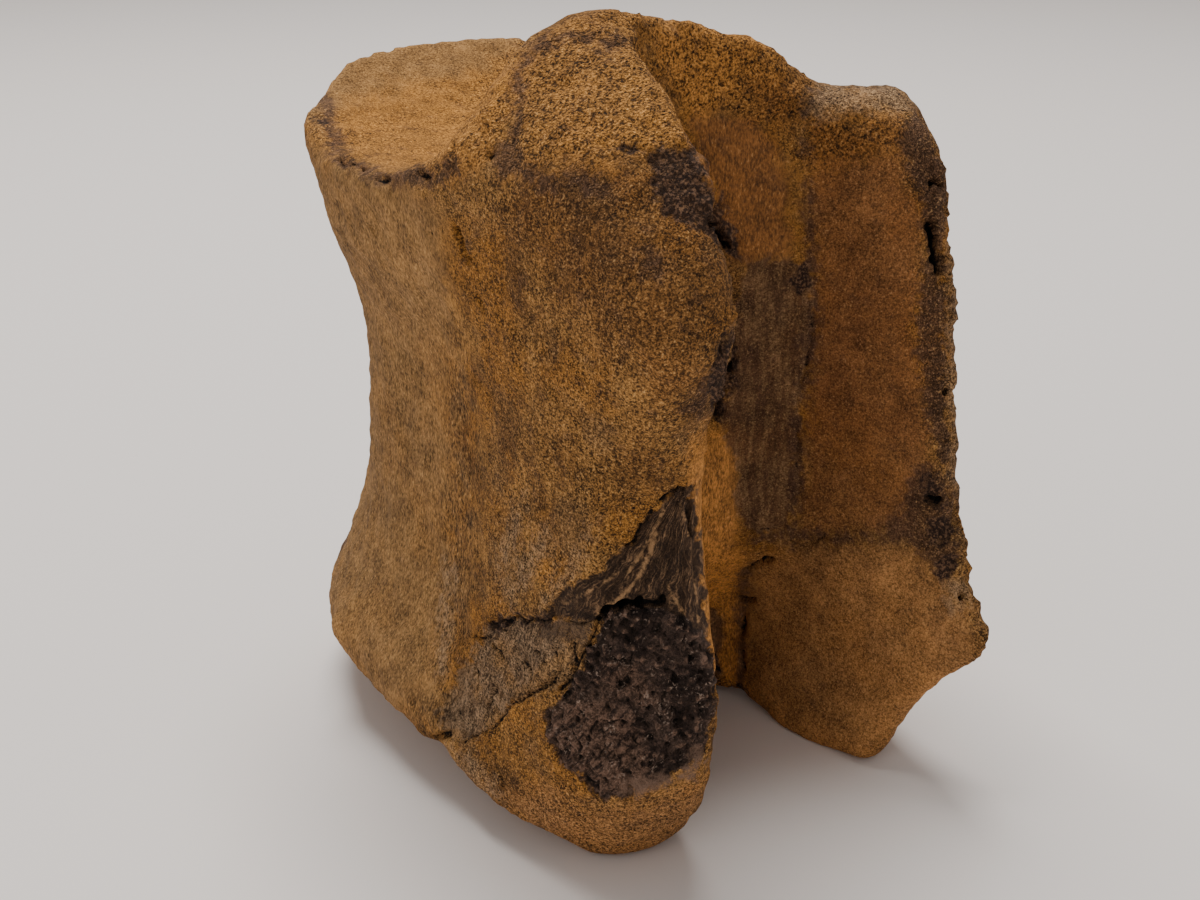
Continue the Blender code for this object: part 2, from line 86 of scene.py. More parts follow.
# What the surface is like in each place. Outlines are in the photo's pixels, drawn round the place
# some of these places are painted shade or painted light, as noted where they stand
patches = {
    "sponge": [
        ((600, 625), (615, 612), (640, 607), (665, 610), (680, 618), (695, 628), (708, 640), (716, 655),
         (719, 680), (717, 705), (712, 730), (704, 752), (688, 768), (668, 785), (640, 790), (622, 803),
         (608, 800), (594, 793), (580, 778), (566, 768), (560, 757), (548, 742), (544, 728), (545, 712),
         (556, 702), (566, 690), (574, 675), (582, 662), (590, 648), (598, 636)),
    ],
    "fibre": [
        ((693, 483), (680, 487), (664, 500), (652, 515), (640, 528), (636, 540), (625, 545), (612, 558),
         (600, 570), (585, 580), (570, 586), (556, 595), (545, 608), (546, 618), (592, 622), (612, 618),
         (640, 613), (665, 615), (684, 626), (706, 640), (708, 615), (703, 570), (700, 545), (697, 515)),
    ],
    "grey": [
        ((486, 626), (500, 620), (515, 617), (540, 617), (560, 621), (575, 618), (592, 622), (590, 640),
         (582, 655), (573, 668), (567, 683), (550, 690), (534, 693), (520, 702), (505, 713), (495, 723),
         (480, 733), (463, 742), (441, 738), (437, 712), (447, 693), (455, 680), (462, 663), (475, 650)),
    ],
    "dark": [
        ((650, 152), (665, 147), (698, 150), (708, 172), (716, 190), (724, 212), (734, 232), (740, 262),
         (728, 254), (718, 240), (700, 233), (690, 222), (665, 217), (658, 200), (653, 180)),
        ((718, 345), (728, 332), (738, 348), (738, 370), (733, 390), (726, 402), (722, 420), (714, 418),
         (712, 402), (703, 392), (710, 372), (716, 358)),
        ((920, 482), (932, 476), (944, 490), (946, 503), (934, 508), (922, 500)),
        ((928, 520), (944, 516), (958, 530), (957, 545), (940, 548), (926, 540)),
        ((934, 562), (950, 556), (958, 566), (948, 578), (936, 574)),
        ((738, 684), (748, 690), (745, 702), (735, 698), (728, 686)),
        ((794, 264), (806, 262), (810, 275), (806, 292), (797, 292), (793, 280)),
        ((486, 624), (496, 617), (508, 620), (501, 631), (490, 635)),
        ((512, 616), (530, 614), (546, 617), (537, 626), (520, 624)),
    ],
    "smudge": [
        ((905, 120), (915, 116), (928, 130), (938, 150), (946, 180), (946, 230), (944, 300), (946, 350),
         (944, 390), (952, 430), (952, 470), (938, 462), (932, 430), (924, 400), (918, 360), (917, 320),
         (920, 280), (925, 240), (922, 200), (913, 180), (905, 160), (898, 140)),
        ((495, 150), (508, 142), (520, 150), (520, 165), (545, 172), (560, 178), (575, 172), (612, 188),
         (606, 196), (575, 190), (545, 196), (528, 190), (515, 176), (498, 178)),
        ((908, 478), (924, 462), (945, 476), (958, 505), (962, 545), (956, 575), (940, 580), (926, 560),
         (905, 540), (898, 515)),
        ((884, 520), (905, 512), (915, 530), (905, 545), (886, 540)),
        ((600, 32), (625, 40), (610, 52), (592, 46), (570, 38), (550, 48), (535, 60), (528, 50), (545, 36)),
        ((512, 84), (522, 84), (526, 100), (520, 120), (512, 118)),
        ((645, 250), (668, 262), (662, 280), (640, 275)),
        ((700, 385), (718, 370), (716, 400), (700, 420), (684, 410)),
    ],
    "stain": [
        ((748, 262), (770, 258), (795, 262), (811, 270), (813, 300), (812, 360), (801, 400), (798, 430),
         (796, 486), (791, 530), (770, 535), (745, 530), (736, 500), (738, 460), (725, 440), (718, 410),
         (730, 390), (730, 330), (740, 300)),
    ],
    "floor": [
        ((690, 118), (720, 114), (745, 120), (772, 132), (782, 160), (786, 200), (790, 256), (750, 262),
         (730, 262), (715, 200), (695, 150)),
        ((716, 438), (737, 450), (734, 500), (737, 560), (743, 600), (742, 680), (714, 676), (690, 640),
         (690, 480)),
    ],
    # painted shade: these outlines darken the far lobe, the near lobe's bulge under the roof and a spot
    # between the lobes' tops
    "umberAndShade": [
        ((806, 118), (905, 118), (928, 200), (922, 330), (928, 400), (940, 450), (880, 460), (812, 440),
         (797, 430), (812, 330), (812, 260)),
        ((510, 182), (600, 178), (700, 152), (742, 262), (746, 300), (728, 335), (712, 400), (660, 400),
         (610, 350), (545, 270), (500, 215)),
        ((745, 62), (765, 60), (800, 88), (806, 125), (775, 134), (750, 112)),
    ],
    "russet": [
        ((812, 165), (900, 160), (925, 220), (915, 330), (925, 400), (930, 460), (905, 530), (800, 535),
         (812, 400)),
    ],
    "ochreAndPaintedLight": [
        # painted light: both outlines lighten places that lie in shade, the lower far lobe and the foot's low
        # side
        ((750, 560), (800, 550), (905, 545), (945, 580), (980, 630), (960, 690), (900, 740), (860, 765),
         (790, 740), (745, 690)),
        ((500, 792), (550, 786), (590, 806), (640, 806), (690, 780), (706, 790), (700, 830), (660, 856),
         (600, 860), (540, 840)),
    ],
    "dish": [
        ((300, 80), (350, 50), (440, 28), (525, 25), (520, 60), (508, 110), (488, 142), (455, 166),
         (430, 178), (380, 172), (335, 142), (300, 120)),
    ],
    "chips": [
        ((925, 150), (945, 150), (965, 240), (965, 480), (975, 560), (992, 628), (978, 668), (955, 668),
         (962, 620), (952, 570), (944, 500), (944, 400), (940, 300), (935, 230)),
        ((700, 140), (722, 190), (748, 262), (748, 300), (738, 330), (742, 360), (734, 410), (724, 440),
         (702, 482), (694, 480), (708, 440), (716, 410), (722, 372), (722, 335), (732, 300), (732, 270),
         (715, 230), (700, 190)),
    ],
    "amberAndPaintedLight": [
        ((650, 22), (700, 18), (745, 36), (790, 56), (776, 78), (740, 72), (724, 100), (702, 114), (680, 100),
         (662, 70)),
        # painted light: the lower canal is lightened where it lies in shade
        ((690, 440), (716, 425), (738, 440), (736, 500), (742, 560), (740, 620), (738, 690), (712, 676),
         (690, 640)),
    ],
    "calm": [
        ((300, 150), (345, 165), (400, 190), (440, 200), (452, 260), (455, 400), (450, 560), (442, 650),
         (430, 720), (380, 700), (320, 640), (345, 470), (340, 300)),
        ((300, 80), (360, 40), (500, 20), (515, 40), (490, 70), (450, 110), (400, 120), (340, 130)),
        ((690, 118), (745, 120), (790, 160), (812, 165), (900, 165), (925, 220), (915, 330), (925, 400),
         (930, 460), (905, 530), (945, 570), (980, 630), (960, 690), (900, 740), (860, 765), (790, 740),
         (740, 695), (690, 640), (690, 440), (716, 420), (745, 300)),
    ],
    "dustAndShade": [
        ((300, 150), (345, 165), (400, 190), (440, 200), (446, 260), (448, 400), (446, 560), (452, 650),
         (430, 720), (380, 700), (320, 640), (345, 470), (340, 300)),
        # painted shade: the back of the dish is darkened
        ((296, 110), (310, 70), (350, 45), (440, 22), (530, 20), (525, 42), (480, 72), (430, 84), (370, 92),
         (335, 112), (320, 130)),
    ],
    "mauve": [
        ((546, 722), (556, 704), (580, 694), (606, 704), (628, 712), (640, 740), (652, 770), (645, 790),
         (618, 802), (600, 792), (575, 772), (556, 754)),
        ((600, 660), (625, 665), (655, 700), (640, 706), (612, 690)),
    ],
    "blush": [
        ((616, 800), (628, 782), (650, 780), (680, 772), (700, 752), (706, 760), (690, 776), (664, 790),
         (640, 794)),
    ],
    "dusk": [
        ((536, 620), (560, 622), (592, 624), (592, 640), (576, 648), (556, 646), (538, 636)),
    ],
    "coarse": [
        ((436, 170), (456, 136), (480, 106), (508, 84), (514, 120), (502, 146), (478, 168), (456, 180)),
        ((505, 178), (512, 120), (520, 70), (545, 32), (590, 8), (640, 4), (652, 40), (664, 80), (690, 128),
         (700, 150), (650, 152), (600, 170), (550, 168)),
        ((640, 20), (700, 18), (740, 36), (786, 52), (812, 88), (804, 118), (770, 134), (740, 122),
         (716, 112), (695, 124), (670, 98), (652, 60)),
        ((806, 118), (850, 112), (905, 118), (900, 150), (850, 160), (815, 150)),
    ],
    "paleAndLit": [
        ((810, 90), (830, 84), (870, 84), (900, 80), (906, 96), (912, 112), (860, 110), (806, 118)),
        ((945, 240), (962, 240), (962, 490), (948, 480), (950, 430), (945, 390), (948, 300)),
        ((945, 585), (958, 572), (970, 590), (960, 612), (945, 615)),
        ((442, 560), (452, 565), (450, 650), (440, 680)),
        # painted light on the foot's lit lower facet; the other outlines are pale chipped strips
        ((445, 746), (470, 752), (492, 776), (500, 800), (480, 792), (456, 768)),
        ((504, 590), (520, 560), (545, 530), (550, 545), (525, 585), (510, 610)),
        ((540, 606), (552, 586), (572, 556), (590, 530), (594, 536), (576, 570), (556, 600)),
        ((498, 560), (508, 530), (520, 500), (526, 504), (514, 536), (504, 570)),
    ],
}

# Bands that run along a line: (what they look like, half width in millimetres, pixels on the line)
bands = [
    ("smudge", 1.3, ((322, 96), (330, 112), (334, 135), (341, 154), (352, 161), (365, 168), (378, 176),
                     (395, 177), (408, 172), (420, 175), (432, 178), (442, 171), (453, 168))),
    ("smudge", 0.9, ((372, 172), (392, 182), (410, 172), (425, 180), (440, 178))),
    ("dark", 0.8, ((321, 117), (322, 124))),
    ("smudge", 0.8,
     ((600, 38), (566, 36), (544, 42), (528, 56), (520, 74), (518, 95), (516, 126), (505, 152))),
    ("smudge", 0.5, ((811, 90), (805, 112), (804, 140), (808, 180), (811, 230), (812, 262))),
    ("smudge", 0.9, ((812, 262), (812, 330), (810, 360), (803, 385), (797, 412), (796, 486), (790, 545))),
    ("smudge", 0.8, ((752, 540), (790, 536), (820, 535), (860, 537), (895, 540))),
    ("smudge", 1.1, ((744, 575), (741, 620), (742, 650), (741, 690))),
    ("smudge", 0.6, ((808, 330), (800, 345), (806, 364), (800, 385))),
    ("dark", 0.5, ((640, 147), (612, 150))),
    ("smudge", 0.5, ((545, 621), (528, 624), (512, 619), (500, 625), (486, 628))),
    # painted highlight: pale bands along the crests of the fibres
    ("litRidge", 0.30, ((596, 616), (612, 607), (630, 592), (641, 573), (650, 553), (655, 536))),
    ("litRidge", 0.18, ((628, 572), (640, 556), (652, 534), (664, 512))),
    ("litRidge", 0.22, ((668, 586), (676, 602), (686, 618), (692, 636))),
    ("litRidge", 0.18, ((682, 505), (690, 530), (694, 556), (697, 590), (700, 622))),
    ("litRidge", 0.16, ((560, 606), (580, 596), (600, 586), (618, 574))),
    # painted shadow: a dark band under the step down into the sponge
    ("dark", 0.6, ((545, 732), (552, 747), (562, 762), (578, 777), (592, 792), (606, 800))),
]

# Cracks and slits: (half width, depth, pixels on the line)
cracks = [
    (0.22, 1.0, ((598, 622), (594, 634), (588, 646), (580, 656), (574, 668), (568, 682), (558, 690))),
    (0.20, 0.8, ((571, 646), (573, 660), (571, 670))),
    (0.18, 0.8, ((557, 672), (548, 684), (536, 690), (528, 694), (518, 702), (511, 704))),
    (0.18, 0.8, ((511, 704), (504, 712), (498, 721), (488, 731))),
    (0.14, 0.6, ((488, 731), (474, 736), (463, 742))),
    (0.16, 0.6, ((487, 622), (496, 628), (504, 634))),
    (0.18, 0.7, ((473, 636), (480, 638), (488, 637))),
    (0.18, 0.6, ((489, 646), (496, 652), (499, 658))),
    (0.16, 0.6, ((492, 692), (488, 700), (484, 710))),
    (0.12, 0.5, ((456, 712), (460, 724), (462, 738))),
    (0.12, 0.5, ((497, 768), (502, 782), (504, 790))),
    (0.38, 1.4, ((457, 231), (460, 241), (463, 250), (467, 259))),
    (0.30, 1.0, ((478, 300), (481, 307))),
    (0.20, 0.7, ((371, 228), (375, 236))),
    (0.16, 0.6, ((429, 232), (432, 238))),
    (0.55, 2.4, ((931, 226), (934, 240), (937, 256), (939, 270))),
    (0.40, 1.4, ((933, 182), (941, 186))),
    (0.30, 1.2, ((926, 500), (934, 503), (941, 501))),
    (0.32, 1.6, ((748, 571), (756, 567), (764, 563), (769, 560))),
    (0.30, 1.5, ((740, 600), (746, 601), (752, 600))),
    (0.22, 0.9, ((744, 616), (741, 634))),
    (0.25, 0.9, ((741, 652), (743, 668))),
    (0.16, 0.9,
     ((549, 618), (540, 622), (532, 618), (523, 622), (514, 616), (505, 623), (497, 620), (488, 627))),
    (0.12, 0.6, ((590, 623), (578, 626), (566, 622))),
    (0.06, 0.6, ((811, 318), (813, 334), (808, 352), (805, 370), (798, 388))),
    (0.05, 0.5, ((796, 420), (797, 446), (795, 470))),
    (0.05, 0.6, ((750, 532), (768, 530), (776, 533))),
    (0.06, 0.6, ((790, 541), (800, 546), (812, 543), (824, 536))),
    (0.06, 0.6, ((846, 538), (858, 545), (872, 543), (886, 536))),
    (0.10, 0.6, ((530, 650), (536, 656), (540, 664))),
    (0.10, 0.6, ((546, 646), (552, 654), (554, 664))),
    (0.10, 0.6, ((520, 664), (526, 670), (528, 678))),
    (0.10, 0.5, ((470, 664), (474, 672), (474, 682))),
    (0.30, 1.0, ((340, 158), (352, 162), (364, 168))),
    (0.22, 0.8, ((376, 177), (386, 179))),
    (0.22, 0.8, ((418, 173), (428, 178))),
    (0.30, 1.2, ((690, 500), (692, 515), (695, 535))),
    (0.55, 2.2, ((718, 400), (717, 414))),
    (0.40, 1.6, ((726, 350), (730, 372))),
    (0.50, 1.8, ((716, 222), (722, 232), (728, 244))),
    (0.45, 1.4, ((434, 738), (446, 736))),
    (0.30, 1.0, ((640, 526), (634, 542), (626, 546))),
    (0.22, 0.8, ((652, 512), (645, 522), (640, 530))),
    (0.22, 0.8, ((661, 502), (672, 492), (684, 487))),
    (0.28, 1.4, ((604, 616), (612, 611), (620, 607))),
    (0.36, 2.2, ((624, 607), (634, 604), (642, 603))),
    (0.22, 1.4, ((644, 603), (654, 603), (662, 601))),
]

# Small holes: (radius, depth, pixel)
holes = [
    (0.28, 0.8, (489, 156)), (0.16, 0.5, (766, 155)), (0.12, 0.4, (771, 185)), (0.16, 0.4, (829, 229)),
    (0.28, 0.9, (811, 468)), (0.60, 1.5, (963, 598)), (0.14, 0.4, (764, 477)), (0.25, 0.8, (946, 392)),
]

# Small corrections to the outline: (pixel, radius, how far it moves along X, Y and Z)
nudges = [
    ((700, 46), 6.0, (0.0, 0.0, 1.9)),
    ((885, 96), 6.0, (0.0, 0.0, 0.9)),
    ((910, 112), 4.0, (-0.7, 0.0, -0.6)),
    ((928, 165), 6.0, (1.7, 0.0, 0.3)),
    ((938, 232), 8.0, (1.0, 0.0, 0.0)),
    ((972, 634), 3.5, (0.6, 0.0, 0.0)),
    ((962, 606), 3.0, (-0.7, 0.0, 0.0)),
    ((732, 272), 4.5, (2.0, -1.4, 0.6)),
    ((730, 328), 4.5, (-1.3, 0.9, 0.0)),
    ((700, 178), 4.5, (1.1, -0.7, 0.0)),
    ((382, 430), 10.0, (-0.9, 0.6, 0.0)),
    ((345, 622), 4.0, (-1.7, 1.1, -0.8)),
    ((315, 120), 6.0, (-0.6, 0.4, 0.4)),
    ((440, 58), 12.0, (0.0, 0.0, 0.5)),
    ((770, 62), 5.0, (0.5, -0.3, 0.8)),
    ((968, 655), 4.0, (0.8, -0.5, 0.0)),
    ((684, 802), 5.0, (0.6, -0.4, 0.0)),
    ((795, 708), 9.0, (-1.6, 1.0, -2.2)),
]

# The sides that the photo doesn't show: (what it is like, middle, radius), in the bone's own frame
hiddenPatches = [
    ("dark", (38.0, 2.0, 98.0), 4.5),
    ("smudge", (34.0, 22.0, 78.0), 7.0),
    ("smudge", (37.0, -22.0, 44.0), 8.0),
    ("umberAndShade", (36.0, -8.0, 60.0), 16.0),
    ("dark", (41.0, -30.0, 26.0), 2.0),
    ("grey", (30.0, 36.0, 14.0), 7.0),
    ("smudge", (4.0, 52.0, 88.0), 6.0),
    ("dark", (-14.0, 52.0, 98.0), 3.0),
    ("smudge", (-12.0, 46.0, 44.0), 6.0),
    ("umberAndShade", (6.0, 50.0, 40.0), 16.0),
    ("dustAndShade", (20.0, 44.0, 78.0), 14.0),
    ("dustAndShade", (34.0, 10.0, 20.0), 12.0),
    ("grey", (16.0, 50.0, 30.0), 5.0),
    ("smudge", (0.0, 20.0, 1.0), 12.0),
    ("dark", (-16.0, 6.0, 2.0), 6.0),
    ("smudge", (-28.0, 40.0, 20.0), 5.0),
    ("stain", (8.0, -6.0, 14.0), 8.0),
]
hiddenCracks = [
    (0.18, 0.8, ((8.0, 50.0, 100.0), (6.0, 49.0, 84.0), (8.0, 48.0, 66.0), (5.0, 48.0, 50.0))),
    (0.16, 0.7, ((37.0, 8.0, 26.0), (34.0, 6.0, 44.0), (33.0, 9.0, 60.0))),
    (0.40, 1.4, ((30.0, 26.0, 52.0), (29.5, 26.0, 58.0))),
    (0.45, 1.6, ((-3.0, 47.0, 58.0), (-3.5, 47.0, 64.0))),
    (0.16, 0.7, ((-24.0, 42.0, 92.0), (-22.0, 42.0, 76.0), (-23.0, 41.0, 62.0))),
    (0.18, 0.8, ((36.0, -10.0, 84.0), (35.0, -14.0, 68.0), (36.0, -12.0, 52.0))),
]

# How deep each kind of place lies under the sound surface, and the width of its edge
relief = {
    "sponge": (0.5, 0.35),
    "fibre": (0.4, 0.35),
    "grey": (0.6, 0.5),
    "dark": (0.5, 0.50),
    "smudge": (0.15, 0.8),
    "stain": (0.2, 0.35),
}

# The fibres fan out from one pixel
fibres = {
    "apex": (700, 452),
    "meanReach": 16.0,  # an angle round the apex is turned to millimetres at this distance
    "width": 0.75,
    "length": 9.0,
    "height": 1.1,
    "strandWidth": 0.26,
    "strandLength": 2.6,
    "sway": 9.0,  # in widths of a strand
}

# Roughness in the mesh: (name, texture, size, height, where)
roughness = [
    ("waves", "CLOUDS", 6.0, 0.80, "sound"),
    ("lumps", "CLOUDS", 2.4, 0.80, "sound"),
    ("knots", "CLOUDS", 1.8, 1.30, "coarse"),
    ("flakes", "CLOUDS", 3.0, 1.20, "dark"),
    ("crumbs", "CLOUDS", 1.0, 0.90, "dark"),
    ("spongeLumps", "CLOUDS", 3.0, 2.60, "sponge"),
    ("spongePits", "CLOUDS", 1.2, 2.40, "sponge"),
    ("wrinkles", "CLOUDS", 1.6, 1.00, "grey"),
    ("chips", "CLOUDS", 3.2, 2.40, "chips"),
    ("chipEdges", "CLOUDS", 1.2, 0.90, "chips"),
]


def selectOnly(piece):
    # operators act on whatever is selected, so only this piece is
    bpy.ops.object.select_all(action="DESELECT")
    piece.select_set(True)
    bpy.context.view_layer.objects.active = piece


def applyModifier(piece, modifier):
    selectOnly(piece)
    bpy.ops.object.modifier_apply(modifier=modifier.name)


def addCamera():
    turn = (math.radians(90 - photoView["tiltDown"]), 0, math.radians(photoView["turn"]))
    bpy.ops.object.camera_add(location=photoView["place"], rotation=turn)
    camera = bpy.context.object
    camera.data.sensor_width = photoView["sensor"]
    camera.data.lens = photoView["sensor"] * photoView["focal"] / photoView["width"]
    camera.data.clip_start = 0.01
    bpy.context.scene.camera = camera
    bpy.context.view_layer.update()
    return camera


def copyBone():
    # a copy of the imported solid, made one closed surface and then a fine even mesh
    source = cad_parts["vertebra"]
    piece = bpy.data.objects.new("boneSkin", source.data.copy())
    bpy.context.scene.collection.objects.link(piece)
    selectOnly(piece)
    piece.data.materials.clear()
    bpy.ops.object.mode_set(mode="EDIT")
    bpy.ops.mesh.select_all(action="SELECT")
    bpy.ops.mesh.remove_doubles(threshold=0.00001)
    bpy.ops.object.mode_set(mode="OBJECT")
    even = piece.modifiers.new("even", "REMESH")
    even.mode = "VOXEL"
    even.voxel_size = boneSkin["voxel"] * mm
    applyModifier(piece, even)
    soften = piece.modifiers.new("soften", "SMOOTH")
    soften.factor = 0.5
    soften.iterations = boneSkin["smoothing"]
    applyModifier(piece, soften)
    return piece


def readVectors(mesh, name):
    values = np.empty(len(mesh.vertices) * 3)
    mesh.vertices.foreach_get(name, values)
    return values.reshape(-1, 3)


def writePoints(mesh, points):
    mesh.vertices.foreach_set("co", points.ravel())
    mesh.update()


def smoothStep(low, high, values):
    share = np.clip((values - low) / (high - low), 0, 1)
    return share * share * (3 - 2 * share)


def wavesAt(points, size, seed):
    # soft noise from about -1 to 1, with waves of the given size in millimetres
    start = Vector((seed * 7.3, seed * 3.1, seed * 5.7))
    return np.array([noise.noise(Vector(point) / (size * mm) + start) for point in points])


def cameraAxes():
    return np.array(camera.matrix_world.to_3x3())


def toPixels(points):
    # where points fall in the photo, and how far they are from the camera's plane
    local = (points - np.array(camera.location)) @ cameraAxes()
    away = -local[:, 2]
    across = photoView["width"] / 2 + photoView["focal"] * local[:, 0] / away
    down = photoView["height"] / 2 - photoView["focal"] * local[:, 1] / away
    return across, down, away


def onBone(pixel):
    # the place on the bone that shows at a pixel of the photo
    sideways = (pixel[0] - photoView["width"] / 2) / photoView["focal"]
    upwards = (photoView["height"] / 2 - pixel[1]) / photoView["focal"]
    ray = Vector(cameraAxes() @ np.array((sideways, upwards, -1.0)))
    return sight.ray_cast(camera.location, ray.normalized())[0]


def alongLine(stops, finder):
    # places every half millimetre or so along a line of stops, set on the surface
    found = []
    for start, end in zip(stops, stops[1:]):
        start, end = np.array(start, float), np.array(end, float)
        for share in np.linspace(0, 1, boneSkin["lineStops"]):
            place = finder(start * (1 - share) + end * share)
            if place is not None:
                found.append(place)
    return found


def nearestOnSkin(place):
    return sight.find_nearest(Vector(place) * mm)[0]


def insideOutline(outline, across, down):
    # how many pixels inside the outline each point lies, with points outside it negative
    inside = np.zeros(len(across), bool)
    nearest = np.full(len(across), 1e9)
    for start, end in zip(outline, outline[1:] + outline[:1]):
        step = np.array(end, float) - start
        share = ((across - start[0]) * step[0] + (down - start[1]) * step[1]) / (step @ step)
        share = np.clip(share, 0, 1)
        gap = np.hypot(across - start[0] - share * step[0], down - start[1] - share * step[1])
        nearest = np.minimum(nearest, gap)
        crosses = (start[1] > down) != (end[1] > down)
        rise = step[1] if step[1] else 1e-9
        inside ^= crosses & (across < start[0] + (down - start[1]) * step[0] / rise)
    return np.where(inside, nearest, -nearest)


def nearTo(places, points, limit):
    # the nearest of some places to each point: how far in millimetres, and which
    tree = KDTree(len(places))
    for index, place in enumerate(places):
        tree.insert(place, index)
    tree.balance()
    found = [tree.find(Vector(point)) for point in points]
    gaps = np.array([hit[2] for hit in found]) / mm
    return np.minimum(gaps, limit), np.array([hit[1] for hit in found])


def seenFrom(points):
    # which points the camera sees
    eye = camera.location
    seen = np.zeros(len(points), bool)
    for index, point in enumerate(points):
        ray = Vector(point) - eye
        hit = sight.ray_cast(eye, ray.normalized())[0]
        seen[index] = hit is None or (hit - eye).length > ray.length - boneSkin["visibleSlack"] * mm
    return seen


def readFields(points):
    # for each kind of place, how many millimetres inside it every point lies
    limit = boneSkin["fieldLimit"]
    across, down, away = toPixels(points)
    seen = seenFrom(points)
    seenPlaces = [Vector(point) for point in points[seen]]
    gap, source = nearTo(seenPlaces, points[~seen], limit)
    perPixel = away / photoView["focal"] / mm
    fields = {}
    blots = wavesAt(points, boneSkin["blotSize"], 3) * boneSkin["blot"]
    for name in list(patches) + ["litRidge"]:
        field = np.full(len(points), -limit)
        for outline in patches.get(name, []):
            shown = insideOutline(outline, across[seen], down[seen]) * perPixel[seen]
            field[seen] = np.maximum(field[seen], shown)
            field[~seen] = np.maximum(field[~seen], shown[source] - gap)
        for kind, middle, radius in hiddenPatches:
            if kind == name:
                apart = (points / mm - middle) * boneSkin["blotShape"]
                field = np.maximum(field, radius + blots - np.linalg.norm(apart, axis=1))
        for kind, half, stops in bands:
            if kind == name:
                near = nearTo(alongLine(stops, onBone), points, limit)[0]
                field = np.maximum(field, half - near)
        fields[name] = field
    ragged = wavesAt(points, boneSkin["raggedSize"], 1) + 0.5 * wavesAt(points, boneSkin["raggedSize"] / 2, 2)
    for name in patches:
        fields[name] = np.clip(fields[name] + ragged * boneSkin["ragged"], -limit, limit)
    return fields


def readCracks(points):
    # how far inside a crack or hole every point lies, and how deep it is there
    places, halves, depths = [], [], []
    lines = [(half, depth, alongLine(stops, onBone)) for half, depth, stops in cracks]
    lines += [(half, depth, alongLine(stops, nearestOnSkin)) for half, depth, stops in hiddenCracks]
    lines += [(half, depth, [onBone(pixel)]) for half, depth, pixel in holes]
    for half, depth, line in lines:
        places += line
        halves += [half] * len(line)
        depths += [depth] * len(line)
    near, which = nearTo(places, points, boneSkin["fieldLimit"])
    return np.array(halves)[which] - near, np.array(depths)[which] * (near < boneSkin["crackReach"])


def refine(piece, wanted):
    # splits the faces whose corners are wanted, so that they carry finer relief
    selectOnly(piece)
    bpy.ops.object.mode_set(mode="EDIT")
    bpy.ops.mesh.select_mode(type="FACE")
    bpy.ops.mesh.select_all(action="DESELECT")
    bpy.ops.object.mode_set(mode="OBJECT")
    for face in piece.data.polygons:
        face.select = all(wanted[corner] for corner in face.vertices)
    bpy.ops.object.mode_set(mode="EDIT")
    bpy.ops.mesh.subdivide(number_cuts=1, smoothness=0.0, ngon=False)
    bpy.ops.object.mode_set(mode="OBJECT")


def addGroup(piece, name, weights):
    group = piece.vertex_groups.new(name=name)
    for index in np.nonzero(weights > 0.01)[0]:
        group.add([int(index)], float(weights[index]), "REPLACE")


def roughen(piece, name, kind, size, height, where):
    texture = bpy.data.textures.new(name, kind)
    texture.noise_scale = size * mm
    if kind == "CLOUDS":
        texture.noise_depth = 2
    push = piece.modifiers.new(name, "DISPLACE")
    push.texture = texture
    push.texture_coords = "LOCAL"
    push.strength = height * mm
    push.mid_level = 0.5
    push.vertex_group = where
    applyModifier(piece, push)


def fanOf(points, apex):
    # how far round the apex of the fibres each point lies, and how far from it, both in millimetres
    across, down, away = toPixels(points)
    turn = np.arctan2(across - apex[0], down - apex[1])
    reach = np.hypot(across - apex[0], down - apex[1]) * away / photoView["focal"] / mm
    return turn * fibres["meanReach"], reach


def carve(piece, fields, depths):
    # sinks the broken places and cracks under the sound surface
    points = readVectors(piece.data, "co")
    normals = readVectors(piece.data, "normal")
    lift = smoothStep(boneSkin["footRise"], boneSkin["footZone"], points[:, 2] / mm)
    sink = np.zeros(len(points))
    for name, (depth, edge) in relief.items():
        sink = np.maximum(sink, depth * smoothStep(-edge, edge, fields[name]))
    groove = depths * smoothStep(*boneSkin["grooveEdge"], fields["crack"])
    sink = (sink + groove) * lift
    writePoints(piece.data, points - normals * sink[:, None] * mm)
    return lift


def storeField(piece, name, values):
    attribute = piece.data.attributes.new(name, "FLOAT", "POINT")
    attribute.data.foreach_set("value", values.astype(np.float32))


def bendOf(piece):
    # how far each point stands out of its neighbours, in millimetres
    points = readVectors(piece.data, "co")
    normals = readVectors(piece.data, "normal")
    ends = np.empty(len(piece.data.edges) * 2, int)
    piece.data.edges.foreach_get("vertices", ends)
    ends = ends.reshape(-1, 2)
    count = np.bincount(ends.ravel(), minlength=len(points))
    mean = points.copy()
    for _ in range(6):
        total = np.zeros_like(points)
        np.add.at(total, ends[:, 0], mean[ends[:, 1]])
        np.add.at(total, ends[:, 1], mean[ends[:, 0]])
        mean = 0.5 * mean + 0.5 * total / count[:, None]
    return ((points - mean) * normals).sum(axis=1) / mm


def nudge(piece):
    points = readVectors(piece.data, "co")
    moved = points.copy()
    for pixel, radius, step in nudges:
        gap = np.linalg.norm(points - np.array(onBone(pixel)), axis=1) / mm
        moved += np.exp(-(gap / radius) ** 2)[:, None] * np.array(step) * mm
    writePoints(piece.data, moved)


def refineBreaks(piece):
    # finer faces where the bone is broken, and finer again along the cracks
    points = readVectors(piece.data, "co")
    fields = readFields(points)
    inBreak = np.max([fields[name] for name in broken], axis=0) > boneSkin["refineFrom"]
    refine(piece, inBreak | (readCracks(points)[0] > boneSkin["refineCracksFrom"]))
    points = readVectors(piece.data, "co")
    refine(piece, readCracks(points)[0] > boneSkin["refineCracksFrom"])


